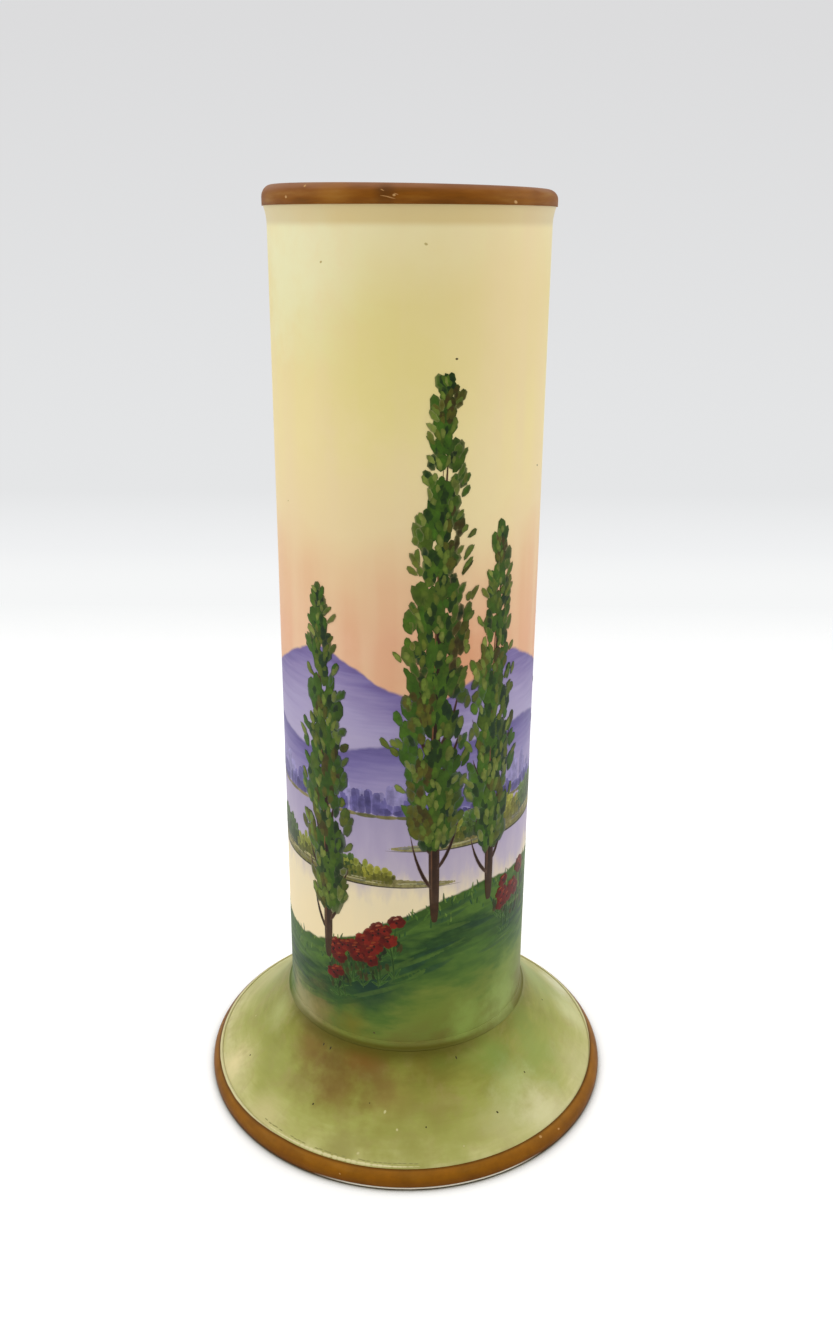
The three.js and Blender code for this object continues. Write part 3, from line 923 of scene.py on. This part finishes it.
SHORE = 66.0
SHORE_STROKES = 40
SHORE_REACH = 2.4
ROW_DABS = 104
TREE_ROWS = [
    # colours of the dabs and the height of the row in mm
    (("#7a739f", "#857ea9"), 6.6), (("#5a5486", "#665f94"), 4.8), (("#443f6e", "#504a7c"), 3.2),
]
bm = bmesh.new()
draw = random.Random(11)
for index in range(SHORE_STROKES):
    around = index / SHORE_STROKES * ROUND_MM
    path = [(around - SHORE_REACH, SHORE - 0.5), (around, SHORE - 0.4 + draw.uniform(-0.1, 0.1)),
            (around + SHORE_REACH, SHORE - 0.5)]
    colour = draw.choice(["#6f683f", "#857b50", "#5c5a36"])
    stroke(bm, path, (0.9, 0.9), 1, linear(colour), shade(colour, 0.2), (0.9, 0.6), steps=10)
for row, (colours, tall) in enumerate(TREE_ROWS):
    for index in range(ROW_DABS):
        around = (index + draw.uniform(-0.4, 0.4)) / ROW_DABS * ROUND_MM
        clump = 0.72 + 1.1 * noise.noise(Vector((around / 7, row * 9, 0)))
        rise = tall * max(clump, 0.1) * draw.uniform(0.8, 1.2)
        path = [(around, SHORE - 0.3), (around + draw.uniform(-0.4, 0.4), SHORE + rise / 2),
                (around + draw.uniform(-0.3, 0.3), SHORE + rise)]
        colour = draw.choice(colours)
        wide = draw.uniform(1.7, 2.7)
        stroke(bm, path, (wide, wide * 0.85), row + 1.5, shade(colour, draw.uniform(-0.1, 0.1)),
               shade(colour, 0.15), (0.92, 0.6), blunt=0.3)
far_trees = finished(bm, "distant_tree_strokes", [enamel])
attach(far_trees, "root")

# Banks
# Long, tapering tongues of olive land reach out into the water, each laid in a few level strokes of
# enamel with a dark line of shade under it and fine, short marks of grass along it.

BANKS = [
    # start and tip in mm round from the front, height at both, and breadth at the start
    (57, -4, 60.6, 59.4, 4.6), (-57, 10, 53.6, 52.2, 4.4), (94, 60, 58.5, 57.6, 3.8),
]
OLIVES = [("#6a6338", "#857e55"), ("#7b7446", "#928a5c"), ("#696534", "#7e7846")]
BANK_MARKS = 40
bm = bmesh.new()
draw = random.Random(23)
for start, tip, start_level, tip_level, breadth in BANKS:
    middle = (start + tip) / 2
    sag = (start_level + tip_level) / 2 + 0.5
    toward_tip = 1 if tip > start else -1
    for layer, (core, rim) in enumerate(OLIVES):
        drop = -0.5 * layer
        inset = -4 * layer * toward_tip
        path = [(start, start_level + drop), (middle, sag + drop), (tip + inset, tip_level)]
        stroke(bm, path, (breadth * (1 - 0.25 * layer), 2.2 - 0.5 * layer), 2 + layer * 0.6,
               linear(core), linear(rim), (1.0, 0.95), steps=64, blunt=0.2)
    path = [(start, start_level - breadth * 0.42), (middle, sag - breadth * 0.36), (tip, tip_level - 0.4)]
    stroke(bm, path, (0.7, 0.35), 3.5, linear("#2f2d12"), linear("#4b4724"), (0.9, 0.5), steps=64)
    for index in range(BANK_MARKS):
        share = draw.uniform(0.05, 0.93)
        lie = bend((start, start_level), (middle, sag), (tip, tip_level), share)
        level = lie[1] + draw.uniform(-0.35, 0.35) * breadth * (1 - share)
        reach = draw.uniform(1.5, 4)
        colour = draw.choice(["#8a8a4e", "#9a9458", "#545a28", "#6d6830"])
        path = [(lie[0] - reach, level), (lie[0], level + 0.1), (lie[0] + reach, level)]
        stroke(bm, path, (0.45, 0.3), 4.5, shade(colour, draw.uniform(-0.1, 0.1)),
               shade(colour, 0.1), (0.7, 0.3), steps=10)
banks = finished(bm, "bank_strokes", [enamel])
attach(banks, "root")

# Bank bushes
# Rounded clumps in yellow-green, olive and deep green stand along the tongues of land. Each was begun
# with a few dark, upright dabs of enamel and finished with short, lighter ones.

BUSHES = [
    # mm round from the front, foot of the clump, breadth and height in mm, and its main colour
    (7, 60.9, 7.0, 4.4, "#6d7228"), (14, 61.3, 9.0, 6.0, "#3f5420"), (21, 61.5, 8.0, 4.8, "#7b7a2a"),
    (29, 61.6, 10.0, 6.5, "#45582a"), (40, 61.5, 12.0, 5.0, "#6d7228"), (50, 61.4, 10.0, 7.0, "#3f5420"),
    (-20, 53.9, 8.0, 4.6, "#6d7228"), (-29, 54.3, 10.0, 6.2, "#3a4f1e"), (-40, 54.4, 9.0, 4.4, "#7b7a2a"),
    (-50, 54.2, 11.0, 6.4, "#45582a"), (-9.5, 53.7, 6.0, 3.6, "#6d7228"), (-5, 53.4, 5.0, 2.6, "#7b7a2a"),
    (-13, 53.9, 7.0, 4.4, "#3f5420"), (70, 58.8, 9.0, 4.8, "#6d7228"), (80, 59.2, 11.0, 6.0, "#3f5420"),
]
DARK_DABS = 7
bm = bmesh.new()
draw = random.Random(31)
for around, level, breadth, rise, colour in BUSHES:
    for index in range(DARK_DABS):
        lean = (index - DARK_DABS // 2) / 3.6
        here = around + lean * breadth / 2
        crown_level = level - 0.4 + rise * 0.85 * math.sqrt(1 - lean * lean * 0.8)
        path = [(here, level - 1.2), (here, (level + crown_level) / 2 - 0.6), (here, crown_level)]
        dark = shade(colour, draw.uniform(-0.55, -0.35))
        stroke(bm, path, (breadth * 0.24, breadth * 0.2), 4.8, dark, dark, (1.0, 0.75), blunt=0.3)
    for index in range(int(breadth * rise * 0.9) + 14):
        lean = draw.uniform(-1, 1)
        climb = draw.uniform(0, 1) * math.sqrt(max(1 - lean * lean * 0.8, 0.1))
        here = around + lean * breadth / 2
        foot_level = level - 0.6 + climb * rise * 0.75
        reach = draw.uniform(1.1, 1.9)
        slope = lean * 0.5 + draw.uniform(-0.3, 0.3)
        path = [(here, foot_level), (here + slope * 0.3, foot_level + reach / 2),
                (here + slope, foot_level + reach)]
        lightness = 0.7 * climb - 0.45 - 0.25 * lean + draw.uniform(-0.15, 0.3)
        wide = draw.uniform(0.9, 1.4)
        stroke(bm, path, (wide, wide), 5 + int(climb * 3), shade(colour, lightness),
               shade(colour, lightness + 0.5), (1.0, 0.65))
bushes = finished(bm, "bank_bush_strokes", [enamel])
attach(bushes, "root")

# Poplars
# Slim poplars stand on the near rise, painted in strokes of enamel. Each has a dark, tapering trunk with
# a lighter edge, a few rising branches, and a crown of leaf dabs, dark inside and yellow-green outside.

POPLARS = [
    # mm round from the front, top in mm, greatest breadth in mm and lean in mm
    (5.0, 139, 15.5, 1.2), (16, 115, 12.5, 0.6), (-15.5, 105, 12.5, -0.8), (42, 130, 15.0, -1.0),
    (60, 108, 12.5, 0.8), (-43, 134, 15.0, 1.0), (-60, 114, 13.0, 0.9),
]
LEAF_COATS = [
    # share of the dabs, layer, their colours, length and breadth in mm, and how far out they reach
    (0.24, 14.0, ("#2b470a", "#34500f", "#3a4c10"), 5.2, 3.1, 0.7),
    (0.26, 15.5, ("#3a300c", "#14280a", "#1a310a", "#142a14"), 3.5, 2.0, 0.7),
    (0.28, 17.0, ("#4c4a14", "#3f5813", "#33520f", "#4d5c1c"), 3.3, 1.8, 0.98),
    (0.22, 18.5, ("#5a6a26", "#667030", "#565e1e"), 2.7, 1.45, 1.08),
]
CROWN_GREEN = "#31480f"
BRANCHES = 9
# The widths of strokes in mm, at their start and at their end
TRUNK_MM = (2.6, 0.4)
TRUNK_EDGE_MM = (0.55, 0.15)
BRANCH_MM = (0.95, 0.2)


def meadow_line(around):
    """The height in mm of the meadow's edge at a place in mm round from the front."""
    turn = around / WALL_RADIUS
    line = WASHES["meadow"]["level"] + WASHES["meadow"]["rough"]
    for turns, phase, swing in WASHES["meadow"]["waves"]:
        line += swing * math.sin(turns * turn + math.radians(phase))
    return line


trunks = bmesh.new()
crowns = {"front": bmesh.new(), "back": bmesh.new()}
draw = random.Random(47)
for around, top, breadth, lean in POPLARS:
    ground_level = meadow_line(around) - 4
    tall = top - ground_level
    clear = ground_level + tall * 0.17
    stem = [(around, ground_level), (around - lean * 0.8, ground_level + tall * 0.4),
            (around + lean, top - tall * 0.12)]
    stroke(trunks, stem, TRUNK_MM, 12, linear("#1f0e05"), linear("#3a2413"), (1.0, 0.85),
           steps=30, blunt=0.5)
    light = [(x - 0.5, z + 3) for x, z in stem]
    stroke(trunks, light, TRUNK_EDGE_MM, 13, linear("#6a4524"), linear("#472c16"), (0.9, 0.8),
           steps=24, blunt=0.3)
    for fork in range(BRANCHES):
        side = 1 if fork % 2 else -1
        start = bend(*stem, 0.09 + fork * 0.05 + draw.uniform(-0.02, 0.02))
        reach = side * breadth * draw.uniform(0.2, 0.38)
        end = (start[0] + reach, start[1] + tall * draw.uniform(0.1, 0.15))
        middle = (start[0] + reach * 0.75, start[1] + tall * 0.04)
        stroke(trunks, [start, middle, end], BRANCH_MM, 12.3, linear("#241207"),
               linear("#4c3220"), (1.0, 0.7), steps=10)
    crown = crowns["front" if abs(around) < ROUND_MM / 4 else "back"]
    dabs = int(tall * breadth * 0.42)
    for part, layer, colours, length, wide, spread in LEAF_COATS:
        for index in range(int(dabs * part)):
            rise = draw.uniform(0, 1) ** 1.15
            climb = clear + (top - clear) * rise
            swell = (1 - rise) ** 0.6 * min(0.35 + 2.2 * rise, 1)
            side = draw.uniform(-1, 1)
            swell *= 1 + 0.5 * noise.noise(Vector((climb / 4.5, around + math.copysign(3, side), 0)))
            lie = side * spread
            axis = bend(*stem, min((climb - ground_level) / tall, 1))[0]
            here = axis + lie * swell * breadth / 2
            reach = length * draw.uniform(0.65, 1.25) * (0.6 + 0.4 * (1 - rise))
            tip = here + lie * 1.1 + draw.uniform(-0.9, 0.9)
            curl = (here + tip) / 2 + draw.uniform(-0.9, 0.9)
            path = [(here, climb - reach / 2), (curl, climb), (tip, climb + reach / 2)]
            clump = 0.5 + 0.9 * noise.noise(Vector((here / 5, climb / 6, around)))
            colour = colours[min(max(int(clump * len(colours)), 0), len(colours) - 1)]
            lightness = draw.uniform(-0.15, 0.2) - 0.25 * side
            across = wide * draw.uniform(0.85, 1.15) * (0.65 + 0.35 * (1 - rise))
            taper = draw.uniform(0.6, 1.1)
            core = shade(colour, lightness)
            mass = shade(CROWN_GREEN, -0.25 * side)
            rim = [a * 0.35 + b * 0.65 for a, b in zip(core, mass)]
            stroke(crown, path, (across * taper, across), layer + draw.uniform(0, 1.4), core, rim,
                   (1.0, 0.97 if abs(side) < 0.55 else draw.uniform(0.5, 0.9)), steps=4, blunt=-0.3)
trunk_strokes = finished(trunks, "poplar_trunk_strokes", [enamel])
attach(trunk_strokes, "root")
for side, crown in crowns.items():
    leaves = finished(crown, f"poplar_leaf_strokes_{side}", [enamel])
    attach(leaves, "root")

# Meadow
# Broad, slanting brush marks of enamel in light and dark green follow the near slope, and short blades
# of grass stand along its edge.

SLOPE_MARKS = 190
BLADES = 330
BLADE_MM = (0.6, 0.25)
bm = bmesh.new()
draw = random.Random(59)
for index in range(SLOPE_MARKS):
    around = draw.uniform(0, ROUND_MM)
    fall = 1.5 + draw.uniform(0, 1) * 14
    level = meadow_line(around) - fall
    if level < SEAT + 3:
        continue
    reach = draw.uniform(3, 8)
    slope = (meadow_line(around + 4) - meadow_line(around - 4)) / 8 + draw.uniform(-0.15, 0.15)
    path = [(around - reach, level - slope * reach), (around, level + draw.uniform(-0.6, 0.9)),
            (around + reach, level + slope * reach)]
    colour = draw.choice(["#1c3a1c", "#3c5c20", "#4f6a28", "#27471f", "#17352a"])
    stroke(bm, path, (draw.uniform(1.2, 2.6), 0.8), 0.8, shade(colour, draw.uniform(-0.1, 0.15)),
           shade(colour, 0.1), (0.3, 0.08), steps=24)
for index in range(BLADES):
    around = draw.uniform(0, ROUND_MM)
    fall = draw.uniform(0, 1) ** 2 * 5
    level = meadow_line(around) - 0.9 - fall
    reach = draw.uniform(1.0, 2.4)
    sway = draw.uniform(-0.9, 0.9)
    path = [(around, level), (around + sway * 0.3, level + reach * 0.6), (around + sway, level + reach)]
    colour = draw.choice(["#24401a", "#3f5e20", "#536c2a", "#2c4c24", "#1f4028"])
    stroke(bm, path, BLADE_MM, 1.4, shade(colour, draw.uniform(-0.1, 0.2)), shade(colour, 0.2),
           (0.75, 0.5), steps=4)
grass = finished(bm, "meadow_strokes", [enamel])
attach(grass, "root")

# Poppies
# Loose poppies lean out of the grass on thin green stems. Each flower is a few curled dabs of deep
# red enamel with one lighter dab where the light catches it.

POPPY_PATCHES = [
    # middle in mm round from the front, half breadth in mm and number of flowers
    (-8.5, 6.5, 24), (23, 5, 9), (50, 8, 16), (-48, 7, 15), (-68, 4, 8),
]
PETALS = 6
STEM_MM = (0.5, 0.3)
LEAF_MM = (0.8, 0.3)
bm = bmesh.new()
draw = random.Random(71)
for middle, half, count in POPPY_PATCHES:
    for index in range(int(half * 9)):
        around = middle + draw.uniform(-half, half) * 1.1
        level = meadow_line(around) - draw.uniform(3.5, 10)
        lean = draw.uniform(-0.8, 0.8)
        path = [(around, level - 1.2), (around + lean * 0.4, level), (around + lean, level + 1.3)]
        colour = draw.choice(["#232c0e", "#333512", "#1a2410", "#3a3214", "#2b3f14"])
        stroke(bm, path, (1.3, 1.0), 1.8, shade(colour, draw.uniform(-0.15, 0.15)), shade(colour, 0.2),
               (0.85, 0.45))
    for index in range(count):
        around = middle + draw.uniform(-half, half)
        level = meadow_line(around) - draw.uniform(7, 14)
        rise = draw.uniform(5, 9)
        sway = draw.uniform(-1.8, 1.8)
        path = [(around, level), (around, level + rise * 0.6), (around + sway, level + rise)]
        stroke(bm, path, STEM_MM, 3, linear("#1f3a12"), linear("#3c5a22"), (0.95, 0.6), steps=10)
        for side in (-1, 1):
            leaf = [(around, level + 0.5), (around + side * 0.8, level + rise * 0.25),
                    (around + side * draw.uniform(1.2, 2.4), level + rise * draw.uniform(0.2, 0.45))]
            stroke(bm, leaf, LEAF_MM, 2, linear("#2a4a1a"), linear("#4f6f30"), (0.9, 0.5))
        size = draw.uniform(1.0, 1.45)
        x, z = around + sway, level + rise
        for petal in range(PETALS):
            angle = math.radians(petal * 360 / PETALS + draw.uniform(-20, 20))
            out, up = math.cos(angle) * size, math.sin(angle) * size * 0.8
            path = [(x - out * 0.2, z - up * 0.2), (x + out * 0.6 - up * 0.3, z + up * 0.6 + out * 0.3),
                    (x + out * 1.4, z + up * 1.4)]
            colour = draw.choice(["#5c0b04", "#4c0702", "#6a160a", "#540e05"])
            stroke(bm, path, (1.2 * size, 1.6 * size), 5 + petal * 0.4,
                   shade(colour, draw.uniform(-0.15, 0.2)), shade(colour, 0.2), (1.0, 0.7))
        lit = [(x - 0.7, z + 0.4), (x - 0.1, z + 0.9), (x + 0.5, z + 0.8)]
        stroke(bm, lit, (0.55, 0.4), 8, linear("#8c2a16"), linear("#72200e"), (0.7, 0.4))
        heart = [(x - 0.3, z - 0.1), (x, z - 0.15), (x + 0.3, z - 0.1)]
        stroke(bm, heart, (0.6, 0.6), 9, linear("#1c0504"), linear("#3a0c06"), (1.0, 0.8))
poppies = finished(bm, "poppy_strokes", [enamel])
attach(poppies, "root")

# Wear
# Small marks of a fired and much handled piece: dark specks and pale pits in the wall's glaze, dark pits
# and pale bubbles in the foot's, and chips out of the brown enamel. A pale line and a fine, broken dark
# one run along the inner side of the foot band, and fine scratches cross the lip.

FLARE_CURVE = flare((SHOULDER_RADIUS, FOOT_TOP - SHOULDER_ROUND), edge_clay[-1], 80)


def on_foot(around, spread, out):
    """A place on the foot's glaze in metres, from mm round at the edge, radius and stand-off in mm."""
    turn = around / FOOT_RADIUS
    pairs = zip(FLARE_CURVE[1:], FLARE_CURVE[:-1])
    low, high = min(pairs, key=lambda pair: abs(pair[0][0] + pair[1][0] - 2 * spread))
    share = (spread - low[0]) / (high[0] - low[0])
    level = low[1] + (high[1] - low[1]) * share
    return Vector((math.sin(turn) * spread, -math.cos(turn) * spread, level + out)) * MM


def on_edge(around, share, out):
    """A place on the foot's enamel in metres, from mm round and thirds of the way up its face."""
    turn = around / FOOT_RADIUS
    radius, level = bend((FOOT_RADIUS, EDGE_LOW), edge_middle, edge_upper, share / 3)
    radius += out
    return Vector((math.sin(turn) * radius, -math.cos(turn) * radius, level + out)) * MM


def on_lip(around, level, out):
    """A place on the lip's enamel in metres, from mm round, height and stand-off in mm."""
    turn = around / LIP_RADIUS
    rise = max(level - lip_outer[1], 0)
    radius = lip_outer[0] + math.sqrt(LIP_OUTER_ROUND ** 2 - rise ** 2) + out
    tilt = LIP_TILT_MM * (level - LIP_BASE) / (LIP_TOP - LIP_BASE) * math.sin(turn)
    return Vector((math.sin(turn) * radius, -math.cos(turn) * radius, level - tilt)) * MM


# Marks read their colour straight from the paint attribute, since they lie on several grounds. The eye
# sees them a little duller than the glaze.
worn, tree = new_material("worn_glaze_marks")
paint = add(tree, "Attribute", attribute_type="GEOMETRY", attribute_name="paint")
surface = add(tree, "BsdfPrincipled", {
    "Base Color": paint, "Roughness": 0.6, "IOR": 1.5, "Specular IOR Level": 0.2})
add(tree, "OutputMaterial", {"Surface": surface})

MARKS = {
    # surface, colours of core and rim, and each mark's two places on it in mm and its size in mm
    "wall_specks": (on_wall, "#3a3018", "#6b5c36", [
        (7.3, 141.8, 0.5), (27.4, 123.5, 0.5), (-6.0, 20.3, 0.5), (58, 128, 0.4), (-62, 122, 0.35),
    ]),
    "wall_pits": (on_wall, "#b0a066", "#c4b47c", [
        (2.4, 157.9, 0.55), (-14.0, 155.3, 0.5), (-24, 118, 0.4), (41, 147, 0.5), (-50, 150, 0.5),
        (69, 100, 0.45),
    ]),
    "foot_pits": (on_foot, "#2c260e", "#5a4f22", [
        (-26.8, 24.9, 0.55), (-24.1, 24.9, 0.6), (-22.8, 31.7, 0.5), (15.3, 24.9, 0.5), (4.6, 32.2, 0.4),
        (21.8, 32.5, 0.5), (-9, 29.5, 0.3), (34, 30, 0.4), (-48, 33, 0.45), (62, 28, 0.5), (90, 34, 0.4),
        (-88, 29, 0.5), (-110, 33, 0.4), (112, 30, 0.45),
    ]),
    "foot_bubbles": (on_foot, "#c1bb84", "#a09c5c", [
        (-5.0, 30.3, 0.7), (-1.9, 32.5, 0.6), (-9.5, 36.1, 0.7), (12, 35.4, 0.4), (-60, 31, 0.5),
        (80, 33, 0.6),
    ]),
    "edge_chips": (on_edge, "#b98d50", "#9a6c36", [
        (28.0, 2.4, 0.7), (32.6, 1.6, 0.55), (-12, 1.2, 0.35), (-66, 1.8, 0.6), (101, 2.0, 0.5),
    ]),
    "lip_chips": (on_lip, "#bd945c", "#94683a", [
        (-17.0, 165.5, 0.5), (-20.9, 164.2, 0.6), (16.8, 163.6, 0.8), (-2.2, 164.3, 0.5), (44, 164.4, 0.6),
        (-55, 164.9, 0.5),
    ]),
}
LIP_SCRATCHES = [
    # mm round from the front, height and half length in mm
    (-3.4, 164.2, 0.9), (-2.6, 164.0, 0.7), (-1.9, 164.5, 0.35), (-3.9, 165.0, 0.3),
]
PALE_LINE = edge_clay[-1][0] - 0.36
PALE_LINE_START = -31
PALE_LINE_MARKS = 34
DARK_LINE_SHARE = 0.7
bm = bmesh.new()
draw = random.Random(83)
for lay, core, rim, places in MARKS.values():
    for across, up, size in places:
        lean = draw.uniform(-0.3, 0.3) * size
        path = [(across - size / 2, up - lean), (across, up + draw.uniform(-0.2, 0.2) * size),
                (across + size / 2, up + lean)]
        stroke(bm, path, (size * 0.8, size * 0.65), 1, linear(core), linear(rim), (1.0, 0.7), lay=lay)
for index in range(PALE_LINE_MARKS):
    across = PALE_LINE_START + index + draw.uniform(-0.2, 0.2)
    path = [(across - 0.8, PALE_LINE), (across, PALE_LINE), (across + 0.8, PALE_LINE)]
    thin = draw.uniform(0.5, 0.66) * math.sin(math.radians(180) * (index + 1) / (PALE_LINE_MARKS + 2))
    stroke(bm, path, (thin, thin), 0.3, linear("#d2cb9a"), linear("#c2bc86"), lay=on_foot)
    if draw.uniform(0, 1) < DARK_LINE_SHARE:
        inner = PALE_LINE - 0.45 + draw.uniform(-0.05, 0.05)
        path = [(across - 0.6, inner), (across, inner), (across + 0.6, inner)]
        stroke(bm, path, (0.2, 0.16), 0.4, linear("#84814a"), linear("#98955c"), lay=on_foot)
for across, up, reach in LIP_SCRATCHES:
    path = [(across - reach, up + 0.1), (across, up), (across + reach, up - 0.15)]
    stroke(bm, path, (0.13, 0.1), 1, linear("#b98a52"), linear("#8f6030"), lay=on_lip)
wear = finished(bm, "wear_marks", [worn])
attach(wear, "root")
